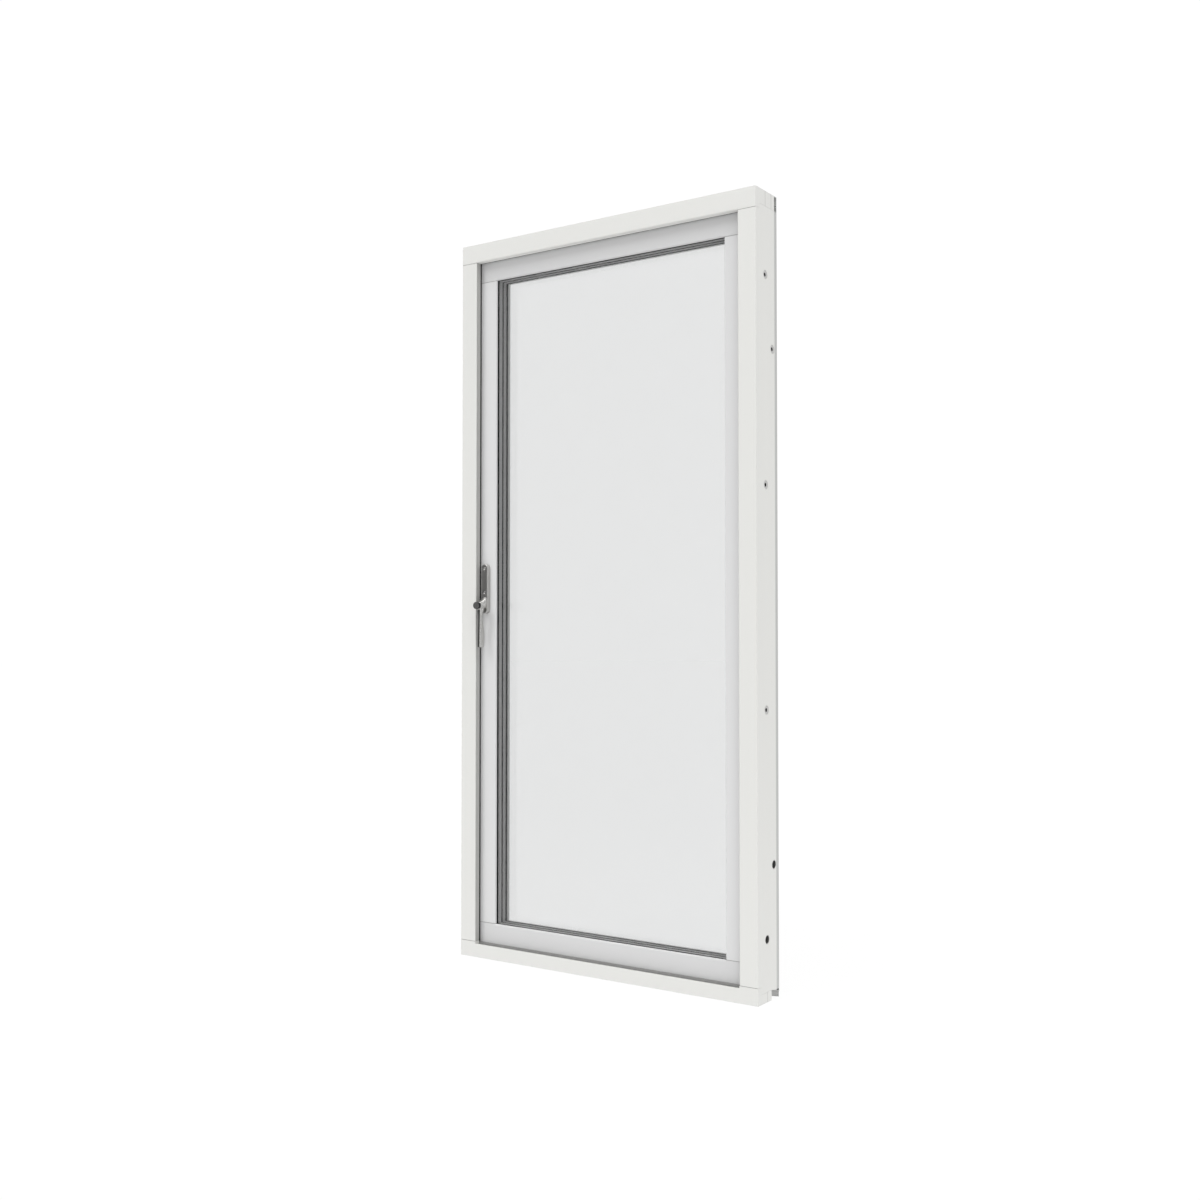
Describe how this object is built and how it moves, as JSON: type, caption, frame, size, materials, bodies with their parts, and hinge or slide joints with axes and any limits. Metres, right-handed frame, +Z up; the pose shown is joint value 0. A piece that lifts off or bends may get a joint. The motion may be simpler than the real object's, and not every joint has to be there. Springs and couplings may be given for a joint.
{
  "type": "casement window",
  "caption": "Side-hung, outward-opening timber window with a glazed sash, aluminium cladding outside, and a lever handle that drives an edge bolt.",
  "frame": {"origin": "centre of the sill's flat underside, where the window stands in its wall opening", "axes": "+X across the window, to the right as seen from the room; +Y from the room outwards; +Z up"},
  "size_m": [0.88, 0.1396, 1.88],
  "materials": {
    "white_paint": "satin white paint on laminated timber",
    "grey_cladding": "light grey powder coat",
    "drip_aluminium": "darker grey aluminium, satin",
    "dark_rubber": "matt",
    "grey_spacer": "matt grey",
    "clear_glass": "clear, polished",
    "white_plastic": "moulded",
    "black_plastic": "moulded, fine texture",
    "satin_metal": "satin plated casting",
    "zinc_steel": "zinc plated"
  },
  "bodies": {
    "frame": {"frame_head": "white_paint", "frame_sill": "white_paint", "frame_jamb_left": "white_paint", "frame_jamb_right": "white_paint", "head_cladding": "grey_cladding", "jamb_cladding_left": "grey_cladding", "jamb_cladding_right": "grey_cladding", "drip_sill": "drip_aluminium", "frame_gasket_head": "dark_rubber", "frame_gasket_left": "dark_rubber", "frame_gasket_right": "dark_rubber", "frame_gasket_sill": "dark_rubber", "fixing_sleeve_left_1": "white_plastic", "fixing_sleeve_left_2": "white_plastic", "fixing_sleeve_left_3": "white_plastic", "fixing_sleeve_left_4": "white_plastic", "fixing_sleeve_right_1": "white_plastic", "fixing_sleeve_right_2": "white_plastic", "fixing_sleeve_right_3": "white_plastic", "fixing_sleeve_right_4": "white_plastic", "hinge_bush_lower": "white_plastic", "hinge_bush_upper": "white_plastic", "hinge_frame_leaf_lower": "zinc_steel", "hinge_frame_leaf_upper": "zinc_steel", "hinge_pin_lower": "zinc_steel", "hinge_pin_upper": "zinc_steel", "keep_lower": "zinc_steel", "keep_upper": "zinc_steel"},
    "sash": {"sash_rail_foot": "white_paint", "sash_rail_top": "white_paint", "sash_stile_left": "white_paint", "sash_stile_right": "white_paint", "sash_cladding_foot": "grey_cladding", "sash_cladding_left": "grey_cladding", "sash_cladding_right": "grey_cladding", "sash_cladding_top": "grey_cladding", "pane_inner": "clear_glass", "pane_middle": "clear_glass", "pane_outer": "clear_glass", "spacer_inner": "grey_spacer", "spacer_outer": "grey_spacer", "glazing_gasket_inner": "dark_rubber", "glazing_gasket_outer": "dark_rubber", "setting_block_left": "black_plastic", "setting_block_right": "black_plastic", "hinge_sash_leaf_lower": "zinc_steel", "hinge_sash_leaf_upper": "zinc_steel", "bolt_faceplate": "zinc_steel", "gearbox_case": "zinc_steel", "handle_backplate": "satin_metal", "backplate_screw_lower": "satin_metal", "backplate_screw_upper": "satin_metal"},
    "handle": {"handle_lever": "satin_metal", "handle_spindle": "zinc_steel", "espagnolette_pinion": "zinc_steel"},
    "button": {"push_button": "black_plastic"},
    "bolt": {"bolt_rod": "zinc_steel", "drive_rack": "zinc_steel", "cam_lower": "zinc_steel", "cam_upper": "zinc_steel"}
  },
  "joints": [
    {"name": "sash_swing", "type": "hinge", "parent": "frame", "child": "sash", "pos_m": [0.402, 0.0775, 0.912], "axis": [0, 0, -1], "range_deg": [0, 90]},
    {"name": "handle_turn", "type": "hinge", "parent": "sash", "child": "handle", "pos_m": [-0.373, -0.0218, 0.926], "axis": [0, -1, 0], "range_deg": [0, 90]},
    {"name": "bolt_slide", "type": "slide", "parent": "sash", "child": "bolt", "axis": [0, 0, -1], "range_m": [0, 0.0181]},
    {"name": "button_press", "type": "slide", "parent": "handle", "child": "button", "axis": [0, 1, 0], "range_m": [0, 0.003], "stiffness_N_per_m": 500, "springref_m": -0.004}
  ],
  "couplings": [
    {"joint": "bolt_slide", "follows": "handle_turn", "m_per_rad": 0.011459}
  ]
}
